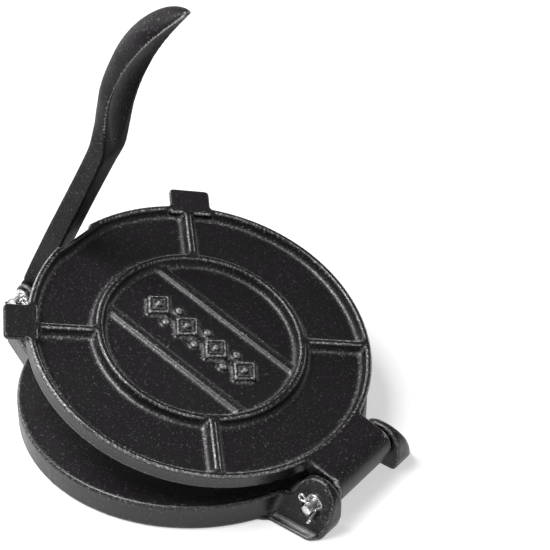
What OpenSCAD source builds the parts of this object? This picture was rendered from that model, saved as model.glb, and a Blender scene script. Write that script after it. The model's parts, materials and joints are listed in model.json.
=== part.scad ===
// Cast tortilla press: two round plates that meet at a rear hinge, and a lever at the front that presses
// them together. The lid and the lever are shown as the press stands open, ready for the dough.
// Frame: origin at the centre of the base disc on the table, +Z up, +X towards the lid hinge.
// Both hinge lines run along Y. The near side is -Y and the far side is +Y.

/* [Base] */
// Radius of the base disc
base_r = 103.5; // [100:0.5:120]
// Height of the base disc above the table
base_h = 17; // [14:0.5:20]
// Thickness of the base plate over the hollow underside
base_plate_t = 7; // [5:0.5:9]
// Wall of the skirt round the hollow underside
skirt_t = 6; // [4:0.5:9]
// Width of the cross ribs under the base plate
under_rib_w = 6; // [4:0.5:10]
// Rounding of the base disc's top edge
base_edge_r = 1.2; // [0.5:0.1:2]

/* [Hinge ears] */
// Radius of the rounded ear over the hinge axle
ear_r = 13.5; // [12:0.5:15]
// Thickness of an ear along its top edge
ear_top_t = 4.2; // [3:0.2:6]
// Slope of an ear's outer face, from upright
ear_slope = 26.5; // [15:0.5:32]
// Radius of the ear's outer corner, seen from above
ear_corner_r = 17; // [14:0.5:22]
// Draft of an ear's rear wall below the axle
ear_draft = 2.5; // [0:0.25:3]
// Width of an ear's foot along Y
ear_foot_w = 25; // [20:0.5:30]
// Thickness of the foot's rim on the table
ear_foot_t = 1.5; // [1:0.1:3]
// Distance of the washer seat from the inner face of an ear
ear_seat = 7.5; // [7:0.5:10]
// Radius of the round flat that is cut for the washer
seat_r = 6.6; // [6.2:0.1:8]

/* [Handle mount] */
// Distance of the handle's axle in front of the disc's centre
pivot_x = 122; // [121:0.5:130]
// Height of the handle's axle
pivot_z = 32; // [31:0.5:38]
// Radius of the rounded handle ears
pivot_ear_r = 7.2; // [6.8:0.1:9]
// Thickness of a handle ear at the axle
pivot_ear_t = 5.2; // [4.5:0.1:8]
// Slope of a handle ear's outer face, from upright
pivot_slope = 15; // [0:1:18]
// Half width of the neck where it leaves the disc
neck_root_w = 42.5; // [34:0.5:50]
// Half width of the neck at its front end
neck_end_w = 22.5; // [18:0.5:28]
// Length of the neck beyond the handle's axle
neck_nose = 9.5; // [9:0.5:14]
// Cut across the neck's front corners
neck_corner = 4; // [2:0.5:8]

/* [Lid] */
// Radius of the lid
lid_r = 101.6; // [98:0.2:102.4]
// Gap between the closed lid and the base
lid_gap = 0.8; // [0.5:0.1:1.5]
// Thickness of the lid's plate
lid_plate_t = 5.7; // [4:0.1:8]
// Height of the rim and the main ribs above the lid's plate
rib_h = 5.8; // [4:0.1:6.5]
// Width of the rim along its top
rim_top_w = 3.2; // [2:0.1:5]
// Width of a main rib along its top
rib_top_w = 3.2; // [2:0.1:5]
// Run of a rib's sloping side
rib_run = 2.5; // [1.5:0.1:4]
// Radius of the fillet at the foot of the rim and the ring rib
rib_fillet = 1.6; // [1.4:0.1:2]
// Radius of the fillet at the foot of a radial rib
radial_fillet = 1.1; // [0.5:0.1:1.2]
// Drop of the radial ribs below the rim and the ring rib
radial_drop = 0.25; // [0.15:0.05:0.5]
// Radius of the ring rib's middle line
ring_r = 60; // [50:0.5:70]
// Depth of the flat in the rim that clears the handle
rim_flat = 3.1; // [2.6:0.1:3.1]
// Width of the flat in the rim
rim_flat_w = 26.5; // [22:0.5:32]
// Thickness of the straight rim wall behind the flat, along its top
flat_wall_t = 2; // [1.5:0.1:3]
// Open angle of the lid as the press stands
lid_open = 15.6; // [10:0.2:20]

/* [Lid band] */
// Distance of the two band ribs from the middle line
band_y = 23.5; // [20:0.5:28]
// Width of a band rib
band_w = 4.2; // [3:0.1:6]
// Height of a band rib above the lid's plate
band_h = 1.8; // [1:0.1:3]
// Number of lozenges in the raised pattern
lozenges = 4; // [2:1:5]
// Length of a lozenge
lozenge_l = 17; // [12:0.5:18]
// Width of a lozenge
lozenge_w = 19; // [12:0.5:24]
// Height of the raised pattern above the lid's plate
pattern_h = 2.4; // [1:0.1:4]

/* [Lid tabs] */
// Distance of a tab's outer end from the lid's centre
tab_reach = 115; // [110:0.5:118]
// Width of a tab
tab_w = 24.7; // [18:0.5:30]
// Thickness of a tab
tab_t = 4; // [3:0.25:6]
// Turn of the two tabs from the line of the ribs
tab_turn = 1.2; // [0:0.1:2]
// Radius of a tab's corners
tab_corner_r = 2.5; // [1:0.25:5]

/* [Lid hinge] */
// Distance of the hinge axle behind the disc's centre
hinge_x = 115.5; // [114.5:0.5:120]
// Height of the hinge axle
hinge_z = 16.5; // [16:0.25:18]
// Half width of the lid's tongue
tongue_w = 25.2; // [20:0.1:30]
// Side clearance between the tongue and an ear
tongue_gap = 1.8; // [0.8:0.1:2.5]
// Side play of the lid towards the far ear
lid_shift = 0.7; // [0:0.1:0.8]
// Radius of the tongue's barrel round the axle
barrel_r = 9.2; // [8:0.1:9.6]
// Radius of the tongue's upper rear corner
tongue_round = 10; // [6:0.5:10.5]
// Reach of the stop heel under the barrel
heel_r = 12.2; // [11.6:0.1:12.3]
// Direction of the stop heel below level, with the lid closed
heel_dir = 65; // [60:1:70]
// Half width of the stop heel
heel_w = 14; // [8:1:18]

/* [Handle] */
// Lean of the handle towards the lid as the press stands
handle_lean = 26; // [22:0.5:26.5]
// Width of the shaft
shaft_w = 14; // [12:0.5:16]
// Distance of the shaft's inner face from the axle's line
shaft_in = 4.5; // [3:0.1:5]
// Distance of the shaft's outer face from the axle's line
shaft_out = 8.8; // [8:0.1:10]
// Radius of the hub round the axle
hub_r = 8.2; // [7.5:0.1:9]
// Side clearance between the shaft and a handle ear
shaft_gap = 0.8; // [0.4:0.1:1.5]
// Distance from the axle to the elbow
elbow_u = 147; // [140:1:160]
// Half width at the elbow
elbow_w = 9.5; // [8.5:0.5:12]
// Thickness of the handle at the elbow
elbow_t = 10.8; // [10:0.1:14]
// Distance from the axle to the tip
tip_u = 271; // [255:0.5:280]
// Offset of the tip's lip from the axle's line
tip_v = 7.6; // [2:0.1:12]
// Thickness of the tip
tip_t = 4; // [3:0.5:9]
// Distance from the axle to the grip's fullest place
back_u = 222; // [215:1:240]
// Offset of the grip's back there, behind the axle's line
back_v = 20.2; // [16:0.1:22]
// Radius of the grip's back across its width
crown_r = 16.5; // [16:0.5:24]
// Hollow of the grip's face behind its chord, seen from the side
face_sag = 12; // [6:0.5:13]
// Half width of the grip at its widest
grip_w = 15.8; // [13:0.1:18]
// Distance from the axle to the widest place
grip_u = 237; // [225:1:250]
// Distance from the axle to the start of the thumb dish
dish_u = 151; // [145:1:180]
// Depth of the thumb dish below the grip's face
dish_depth = 3; // [1:0.5:4]
// Radius of the thumb dish across the grip
dish_r = 36; // [28:1:45]

/* [Axles] */
// Radius of both axles
axle_r = 3; // [2.5:0.1:3.4]
// Radial running clearance in every bore
bore_gap = 0.08; // [0.02:0.01:0.1]
// Length of an axle beyond its washer
axle_end = 7.8; // [6:0.2:10]
// Chamfer of an axle's ends
axle_chamfer = 0.6; // [0.2:0.1:1]
// Radius of an axle's head
head_r = 5; // [4:0.25:6]
// Thickness of an axle's head
head_t = 2.6; // [2:0.1:4]

/* [Washers and split pins] */
// Outer radius of a washer
washer_r = 5.4; // [5:0.1:6]
// Thickness of a washer
washer_t = 1.4; // [1:0.1:2]
// Distance from a washer to the middle of its split pin
pin_set = 3.2; // [2:0.1:5]
// Radius of a split pin's shank
pin_r = 1.3; // [1:0.1:1.4]
// Radius of a split pin's wire at the eye
pin_wire_r = 0.95; // [0.8:0.05:1.1]
// Radius of the middle line of the eye
pin_eye_r = 2.4; // [2.2:0.1:3.2]
// Length of the spread legs beyond the axle
pin_leg = 6.4; // [4:0.2:8]
// Spread of each leg from the pin's line
pin_spread = 16; // [10:1:40]
// Lean of the legs away from the ear
pin_lean = 40; // [30:1:50]
// Turn of the handle's split pin from upright
handle_pin_turn = 70; // [0:10:180]
// Turn of the hinge's split pin from upright
hinge_pin_turn = -60; // [-65:5:-55]
// Clearance of the split pin in its hole
pin_gap = 0.15; // [0.1:0.05:0.3]

/* [Hidden] */
// Length over which the shaft widens towards the elbow
shoulder_run = 38;
// Place along the shaft at which its outer side stands furthest out
shaft_swell = 20;
// Depth to which the neck's root reaches inside the skirt
neck_bite = 9;
$fn = 72;
eps = 0.02;
reach = 400;                             // longer than the whole press, for cutting
iron = "#2b2b2c";
steel = "#c9cbcc";
arc_steps = 12;
fillet_end = 3;                          // a fillet meets the plate at this slope

lid_bottom = base_h + lid_gap;           // heights on the closed lid
lid_top = lid_bottom + lid_plate_t;
rim_top = lid_top + rib_h;
rim_flat_x = lid_r - rim_flat;
ear_in = tongue_w + tongue_gap;          // inner face of a hinge ear
ear_top = hinge_z + ear_r;
ear_out = ear_in + ear_foot_w;           // outermost line of an ear's foot
ear_rear = hinge_x + ear_r;
seat_y = ear_in + ear_seat;              // washer seat on a hinge ear
bore_r = axle_r + bore_gap;
pivot_in = shaft_w / 2 + shaft_gap;      // inner face of a handle ear
pivot_seat = pivot_in + pivot_ear_t;
grip_back = [elbow_u, shaft_in - elbow_t];
grip_face = [elbow_u, shaft_in];
tip_back = [tip_u, tip_v - tip_t];
tip_face = [tip_u, tip_v];
dish_start = [dish_u, shaft_in - (dish_u - elbow_u) / 3];

// Points of an arc from p to q that bulges by sag to the left of the way from p to q
function arc_points(p, q, sag, steps = arc_steps) =
    let (chord = q - p, len = norm(chord), r = (len * len / 4 + sag * sag) / (2 * sag),
         centre = (p + q) / 2 - [-chord[1], chord[0]] / len * (r - sag), sweep = 2 * asin(len / (2 * r)),
         start = atan2(p[1] - centre[1], p[0] - centre[0]))
    [for (i = [0:steps]) centre + r * [cos(start - sweep * i / steps), sin(start - sweep * i / steps)]];

// Half outline of a cast rib: flat top, sloping side and a hollow fillet at the foot, from the top down
function rib_side(half_top, h, fillet = rib_fillet) =
    let (foot = half_top + rib_run, slope = atan2(h, rib_run), run = fillet * tan(slope / 2))
    concat([[half_top, h]],
           [for (i = [0:3]) let (a = slope + (fillet_end - slope) * i / 3)
               [foot + run - fillet * sin(a), fillet * (1 - cos(a))]],
           [[foot + run, -eps]]);

// Turns children about a line along Y through x, z
module swing(x, z, angle) {
    translate([x, 0, z]) rotate([0, angle, 0]) translate([-x, 0, -z]) children();
}

// Sets the children, an outline in X and Z, upright and gives it width from y0 to y1
module upright(y0, y1) {
    translate([0, y1, 0]) rotate([90, 0, 0]) linear_extrude(y1 - y0) children();
}

// A rod along Y
module rod_y(r, y0, y1, x = 0, z = 0) {
    translate([x, y0, z]) rotate([-90, 0, 0]) cylinder(r = r, h = y1 - y0);
}

// ---- base ----

module base_disc() {
    rotate_extrude($fn = 180) {
        square([base_r, base_h - base_edge_r]);
        square([base_r - base_edge_r, base_h]);
        translate([base_r - base_edge_r, base_h - base_edge_r]) circle(base_edge_r, $fn = 32);
    }
}

// The hollow under the plate, with the cross ribs left standing
module base_hollow() {
    depth = base_h - base_plate_t;
    difference() {
        translate([0, 0, -eps]) cylinder(r = base_r - skirt_t, h = depth + eps, $fn = 180);
        for (a = [45, 135])
            rotate(a) translate([-reach / 2, -under_rib_w / 2, -1]) cube([reach, under_rib_w, base_h]);
    }
}

// Side view of a hinge ear: round over the axle, level with the disc in front of it
module ear_side() {
    root = base_r - skirt_t - ear_corner_r;
    translate([hinge_x, hinge_z]) circle(ear_r);
    polygon([[root, 0], [root, base_h], [hinge_x, base_h], [ear_rear, hinge_z], [ear_rear, hinge_z / 2],
             [ear_rear - ear_draft, 0]]);
}

// End view of the far ear: upright inside, sloping outside, with a thin foot
module ear_end() {
    top_y = ear_in + ear_top_t;
    foot_z = 2 * ear_foot_t;
    slope_y = top_y + (ear_top - foot_z) * tan(ear_slope);
    polygon([[ear_in, 0], [ear_in, ear_top + eps], [top_y, ear_top + eps], [slope_y, foot_z],
             [ear_out, ear_foot_t], [ear_out, 0]]);
}

// Plan of the far ear, with its round outer corner
module ear_plan() {
    corner = [ear_rear - ear_corner_r, ear_out - ear_corner_r];
    translate(corner) circle(ear_corner_r, $fn = 96);
    square([ear_rear, corner[1]]);
    square([corner[0], ear_out]);
}

module hinge_ear() {
    intersection() {
        upright(ear_in, ear_out) ear_side();
        rotate([90, 0, 90]) linear_extrude(ear_rear + eps) ear_end();
        linear_extrude(ear_top + eps) ear_plan();
    }
}

// The wedge-shaped neck that carries the handle's ears
module handle_neck() {
    front = pivot_x + neck_nose;
    root = base_r - skirt_t - neck_bite;
    slope = (neck_root_w - neck_end_w) / (front - root);
    linear_extrude(base_h)
        for (side = [0, 1]) mirror([0, side])
            polygon([[-root, -eps], [-root, neck_root_w],
                     [-front + neck_corner, neck_end_w + slope * neck_corner],
                     [-front, neck_end_w - neck_corner], [-front, -eps]]);
}

// One of the two ears for the handle: round over the axle, sloping outside
module handle_ear() {
    root_x = pivot_x - pivot_ear_r - 6;
    top = pivot_z + pivot_ear_r;
    intersection() {
        upright(pivot_in, neck_root_w) {
            translate([-pivot_x, pivot_z]) circle(pivot_ear_r);
            polygon([[-pivot_x - pivot_ear_r, pivot_z], [-pivot_x - pivot_ear_r, base_h - eps],
                     [-root_x, base_h - eps],
                     [-pivot_x + pivot_ear_r * cos(20), pivot_z + pivot_ear_r * sin(20)]]);
        }
        rotate([90, 0, -90]) linear_extrude(reach) mirror([1, 0])
            polygon([[0, 0], [pivot_seat + pivot_z * tan(pivot_slope), 0],
                     [pivot_seat - pivot_ear_r * tan(pivot_slope), top], [0, top]]);
    }
}

module base_plate() color(iron) {
    difference() {
        union() {
            base_disc();
            for (side = [0, 1]) mirror([0, side, 0]) {
                hinge_ear();
                handle_ear();
            }
            handle_neck();
        }
        base_hollow();
        rod_y(bore_r, -reach / 2, reach / 2, hinge_x, hinge_z);
        rod_y(bore_r, -reach / 2, reach / 2, -pivot_x, pivot_z);
        for (side = [0, 1]) mirror([0, side, 0]) {
            rod_y(seat_r, seat_y, seat_y + reach / 4, hinge_x, hinge_z);
            rod_y(seat_r, pivot_seat, pivot_seat + reach / 4, -pivot_x, pivot_z);
        }
    }
}

// ---- lid, modelled closed ----

module lid_disc() {
    edge = 0.8;
    foot = lid_r - rim_top_w;
    rotate_extrude($fn = 180) {
        polygon([[0, lid_bottom], [lid_r - edge, lid_bottom], [lid_r, lid_bottom + edge],
                 [lid_r, rim_top - edge], [lid_r - edge, rim_top], [foot, rim_top],
                 [foot - rib_run, lid_top], [0, lid_top]]);
        translate([foot, lid_top]) mirror([1, 0])
            polygon(concat([[-eps, 0], [-eps, rib_h]], rib_side(0, rib_h)));
        translate([ring_r, lid_top])
            for (side = [0, 1]) mirror([side, 0])
                polygon(concat([[-eps, -eps], [-eps, rib_h]], rib_side(rib_top_w / 2, rib_h)));
    }
}

module radial_rib() {
    h = rib_h - radial_drop;
    translate([ring_r, 0, lid_top]) rotate([90, 0, 90]) linear_extrude(lid_r - rim_top_w / 2 - ring_r)
        for (side = [0, 1]) mirror([side, 0])
            polygon(concat([[-eps, -eps], [-eps, h]], rib_side(rib_top_w / 2, h, radial_fillet)));
}

// The straight wall behind the flat that clears the handle
module flat_wall() {
    half = rim_flat_w / 2 + 4;
    upright(-half, half) translate([-rim_flat_x, lid_top])
        polygon(concat([[0, -eps], [0, rib_h]], rib_side(flat_wall_t, rib_h)));
}

module band_rib() {
    half = sqrt(ring_r * ring_r - band_y * band_y);
    translate([-half, band_y - band_w / 2, lid_top - eps]) cube([2 * half, band_w, band_h + eps]);
}

// Lozenges with a dot between each pair, as a plain raised ornament
module band_pattern() {
    pitch = lozenge_l + 5;
    first = -pitch * (lozenges - 1) / 2;
    translate([0, 0, lid_top - eps]) {
        for (i = [0:lozenges - 1]) translate([first + i * pitch, 0, 0]) linear_extrude(pattern_h + eps)
            polygon([[-lozenge_l / 2, 0], [0, -lozenge_w / 2], [lozenge_l / 2, 0], [0, lozenge_w / 2]]);
        for (i = [0:lozenges - 2], side = [-1, 1])
            translate([first + (i + 0.5) * pitch, side * lozenge_w / 3, 0])
                cylinder(r = 2.2, h = pattern_h + eps, $fn = 24);
    }
}

module tab() {
    root = rim_flat_x - rim_top_w;
    straight = tab_reach - tab_corner_r;
    translate([0, 0, rim_top - tab_t]) linear_extrude(tab_t) {
        translate([root, -tab_w / 2]) square([straight - root, tab_w]);
        translate([root, -tab_w / 2 + tab_corner_r]) square([tab_reach - root, tab_w - 2 * tab_corner_r]);
        for (side = [-1, 1])
            translate([straight, side * (tab_w / 2 - tab_corner_r)]) circle(tab_corner_r, $fn = 32);
    }
}

// Side view of the tongue: level with the rim, round at the rear, with a barrel round the axle
module tongue_side() {
    root = lid_r - rim_top_w;
    corner = [hinge_x + barrel_r - tongue_round, rim_top - tongue_round];
    translate([hinge_x, hinge_z]) circle(barrel_r);
    translate(corner) circle(tongue_round);
    polygon([[root, lid_bottom], [root, rim_top], [corner[0], rim_top], corner,
             [corner[0] + tongue_round, corner[1]], [hinge_x + barrel_r, hinge_z],
             [hinge_x - barrel_r, hinge_z], [hinge_x - barrel_r, lid_bottom]]);
}

// The heel that meets the disc's edge when the lid leans fully back
module stop_heel() {
    upright(-heel_w, heel_w) translate([hinge_x, hinge_z])
        polygon([[0, 0], barrel_r * [cos(heel_dir + 14), -sin(heel_dir + 14)],
                 heel_r * [cos(heel_dir), -sin(heel_dir)],
                 barrel_r * [cos(heel_dir - 25), -sin(heel_dir - 25)]]);
}

module lid_plate() color(iron) translate([0, lid_shift, 0]) swing(hinge_x, hinge_z, lid_open) {
    difference() {
        union() {
            lid_disc();
            for (a = [45:90:315]) rotate(a) radial_rib();
            for (side = [0, 1]) mirror([0, side, 0]) band_rib();
            band_pattern();
            for (a = [135, 225]) rotate(a - tab_turn) tab();
            flat_wall();
            upright(-tongue_w, tongue_w) tongue_side();
            stop_heel();
        }
        translate([-rim_flat_x - reach, -rim_flat_w / 2 - lid_shift, 0]) cube([reach, rim_flat_w, reach]);
        rod_y(bore_r, -reach / 2, reach / 2, hinge_x, hinge_z);
    }
}

// ---- handle, modelled upright with its axle at the origin; X here runs along the shaft ----

module shaft_side() {
    polygon([[0, -hub_r], [shaft_swell, -shaft_out], grip_back, grip_back + [eps, 0], grip_face + [eps, 0],
             [0, shaft_in]]);
    circle(hub_r);
}

// The grip on the face's side, open towards the back
module grip_side() {
    polygon(concat([[elbow_u, -reach / 4], [tip_u + 2, -reach / 4], [tip_u + 2, tip_v]],
                   arc_points(tip_face, grip_face, face_sag)));
}

// The grip's round back from its fullest place to one end, filled in on the side of the face.
// Both stretches are level at the fullest place, so that they meet there without a step.
module crowned_back(end) {
    rise = end[1] + back_v;
    r = (pow(end[0] - back_u, 2) + rise * rise) / (2 * rise);
    intersection() {
        translate([back_u, 0, r - back_v]) rotate([90, 0, 0]) rotate_extrude($fn = 180) {
            translate([r - crown_r, 0]) circle(crown_r);
            translate([0, -crown_r]) square([r - crown_r, 2 * crown_r]);
        }
        translate([min(end[0], back_u), -crown_r - 3, -reach / 4])
            cube([abs(end[0] - back_u), 2 * crown_r + 6, reach / 2]);
    }
}

module handle_width() {
    shoulder = elbow_u - shoulder_run;
    half = concat([[-2 * hub_r, shaft_w / 2], [shoulder, shaft_w / 2]],
                  arc_points([elbow_u, elbow_w], [grip_u, grip_w], 2.4),
                  arc_points([grip_u, grip_w], [tip_u, 1.5], 7));
    polygon(concat(half, [for (i = [len(half) - 1:-1:0]) [half[i][0], -half[i][1]]]));
}

// The hollow for the thumb: a groove that follows the curve of the grip's face
module thumb_dish() {
    p = dish_start;
    q = tip_face - [0, dish_depth];
    chord = norm(q - p);
    sag = face_sag + dish_depth / 2;
    sweep_r = (chord * chord / 4 + sag * sag) / (2 * sag);
    dir = (q - p) / chord;
    centre = (p + q) / 2 + [-dir[1], dir[0]] * (sweep_r - sag);
    translate([centre[0], 0, centre[1]]) rotate([90, 0, 0])
        rotate_extrude($fn = 180) translate([sweep_r - dish_r, 0]) rotate(180) circle(dish_r);
}

module press_handle() color(iron)
    translate([-pivot_x, 0, pivot_z]) rotate([0, handle_lean, 0]) rotate([0, -90, 0]) mirror([0, 0, 1])
        difference() {
            intersection() {
                union() {
                    upright(-grip_w - 1, grip_w + 1) shaft_side();
                    intersection() {
                        upright(-grip_w - 2, grip_w + 2) grip_side();
                        union() {
                            crowned_back(grip_back);
                            crowned_back(tip_back);
                        }
                    }
                }
                translate([0, 0, -reach / 4]) linear_extrude(reach / 2) handle_width();
            }
            rod_y(bore_r, -reach / 2, reach / 2);
            thumb_dish();
        }

// ---- axles, washers and split pins ----

// An axle along Y with a flat head at the far side and a cross hole near its other end
module axle(seat, pin_turn) {
    end = seat + washer_t + axle_end;
    difference() {
        rotate([90, 0, 0]) rotate_extrude() {
            polygon([[0, -seat - head_t], [head_r - axle_chamfer, -seat - head_t],
                     [head_r, -seat - head_t + axle_chamfer],
                     [head_r, -seat], [axle_r, -seat], [axle_r, end - axle_chamfer],
                     [axle_r - axle_chamfer, end], [0, end]]);
        }
        rotate([0, pin_turn, 0]) translate([0, -seat - washer_t - pin_set, -axle_r - 1])
            cylinder(r = pin_r + pin_gap, h = 2 * axle_r + 2, $fn = 36);
    }
}

module washer(seat) {
    translate([0, -seat, 0]) rotate([90, 0, 0]) difference() {
        cylinder(r = washer_r, h = washer_t);
        translate([0, 0, -1]) cylinder(r = bore_r + 0.2, h = washer_t + 2);
    }
}

// A split pin through the axle: the eye at one end, the legs spread at the other
module split_pin(seat, pin_turn) {
    neck = axle_r + 0.4;
    rotate([0, pin_turn, 0]) translate([0, -seat - washer_t - pin_set, 0]) {
        translate([0, 0, neck + pin_eye_r + pin_wire_r]) rotate([90, 0, 0])
            rotate_extrude($fn = 48) translate([pin_eye_r, 0]) circle(pin_wire_r, $fn = 24);
        translate([0, 0, -neck]) cylinder(r = pin_r, h = 2 * neck + 1.6 * pin_wire_r, $fn = 36);
        for (a = [-pin_spread, pin_spread])
            translate([0, 0, -neck]) rotate([-pin_lean, a, 0]) translate([0, 0, -pin_leg])
                cylinder(r = pin_r * 0.7, h = pin_leg + pin_r / 2, $fn = 24);
    }
}

module at_hinge() { translate([hinge_x, 0, hinge_z]) children(); }
module at_pivot() { translate([-pivot_x, 0, pivot_z]) children(); }

module hinge_axle() color(steel) at_hinge() axle(seat_y, hinge_pin_turn);
module handle_axle() color(steel) at_pivot() axle(pivot_seat, handle_pin_turn);
module hinge_washer() color(steel) at_hinge() washer(seat_y);
module handle_washer() color(steel) at_pivot() washer(pivot_seat);
module hinge_split_pin() color(steel) at_hinge() split_pin(seat_y, hinge_pin_turn);
module handle_split_pin() color(steel) at_pivot() split_pin(pivot_seat, handle_pin_turn);

base_plate();
lid_plate();
press_handle();
hinge_axle();
handle_axle();
hinge_washer();
handle_washer();
hinge_split_pin();
handle_split_pin();
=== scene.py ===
"""Looks of a cast-iron tortilla press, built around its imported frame.

Two round castings meet at a rear hinge, and a cast lever at the front presses them together. Every
length is in metres, +X runs from the lever to the hinge, +Z is up and the near side is -Y.
"""

from __future__ import annotations

import json
import logging
import math
from collections.abc import Callable, Mapping, Sequence
from dataclasses import dataclass, field
from enum import Enum
from typing import Any

import bmesh
import bpy
import numpy as np
from bpy.types import ID, Material, Mesh, Modifier, Node, NodeSocket, NodeTree, Object
from mathutils import Matrix, Vector

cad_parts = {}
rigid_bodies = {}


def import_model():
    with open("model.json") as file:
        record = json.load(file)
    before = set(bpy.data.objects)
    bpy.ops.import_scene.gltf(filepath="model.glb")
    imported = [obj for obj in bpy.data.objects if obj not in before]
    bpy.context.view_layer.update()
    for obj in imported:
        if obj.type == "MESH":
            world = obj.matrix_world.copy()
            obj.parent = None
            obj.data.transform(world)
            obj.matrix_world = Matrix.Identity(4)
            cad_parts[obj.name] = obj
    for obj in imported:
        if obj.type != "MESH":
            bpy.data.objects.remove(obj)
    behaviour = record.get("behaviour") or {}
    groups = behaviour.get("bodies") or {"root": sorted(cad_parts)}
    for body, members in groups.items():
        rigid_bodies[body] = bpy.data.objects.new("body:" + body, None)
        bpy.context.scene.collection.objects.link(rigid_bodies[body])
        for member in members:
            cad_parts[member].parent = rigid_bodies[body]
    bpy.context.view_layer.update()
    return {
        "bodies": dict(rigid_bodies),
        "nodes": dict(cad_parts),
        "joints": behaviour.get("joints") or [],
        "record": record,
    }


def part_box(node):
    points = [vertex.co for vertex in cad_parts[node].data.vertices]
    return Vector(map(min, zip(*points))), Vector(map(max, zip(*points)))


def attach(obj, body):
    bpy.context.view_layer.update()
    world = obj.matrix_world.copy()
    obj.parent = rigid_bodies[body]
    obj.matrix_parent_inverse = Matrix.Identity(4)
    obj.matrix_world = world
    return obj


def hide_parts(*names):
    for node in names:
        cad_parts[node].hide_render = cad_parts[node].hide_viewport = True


LOG = logging.getLogger("tortilla_press")
MM = 0.001
WELD_DISTANCE = 1e-6
EDGE_MASK = "outer_edge"
CREASE_MASK = "inner_corner"
GRIT_MASK = "sandy_zone"
MIX_INPUTS = (0, 6, 7)  # places of a colour mix node's share and its two colours
MIX_OUTPUT = 2
WAVE_SHARE = 0.12  # grain size over wave length
WAVE_HEIGHT = 1.6  # heights as multiples of the finest grain's
PIT_HEIGHT = 0.5
PIT_RAMP = (0.02, 0.16)  # a ramp is the pair of values at which a mask starts and is full
SPECKLE_RAMP = (0.45, 0.68)
GLINT_RAMP = (0.58, 0.72)
TONE_RAMP = (0.3, 0.7)
EDGE_RAMP = (0.55, 0.98)
CORNER_RAMP = (0.2, 0.8)
GRIT_RAMP = (0.03, 0.3)
SMEAR_RAMP = (0.35, 0.65)
TURNED_STRETCH = (0.25, 1.0, 0.25)  # scale that draws turning marks out round the Y axis
SMEAR_SHARE = 0.2  # pitch of turning marks over size of smears
BEND_STEPS = 6  # segments that round one bend of a wire
BEAD_SIDES = 12
LOZENGE_SIDES = 4
STUD_DETAIL = 3  # subdivisions of a stud


class Body(Enum):
    """The bodies that move against each other."""

    BASE = "base"
    LID = "lid"
    HANDLE = "handle"


class Port(Enum):
    """Kinds of sockets on a node group."""

    NUMBER = "NodeSocketFloat"
    WHOLE = "NodeSocketInt"
    VECTOR = "NodeSocketVector"
    SHAPE = "NodeSocketGeometry"
    MATERIAL = "NodeSocketMaterial"


Value = Any
Colour = tuple[float, float, float, float]
Place = tuple[float, float, float]
Ports = Mapping[str, Port | float]


# ---- node trees ----


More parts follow.
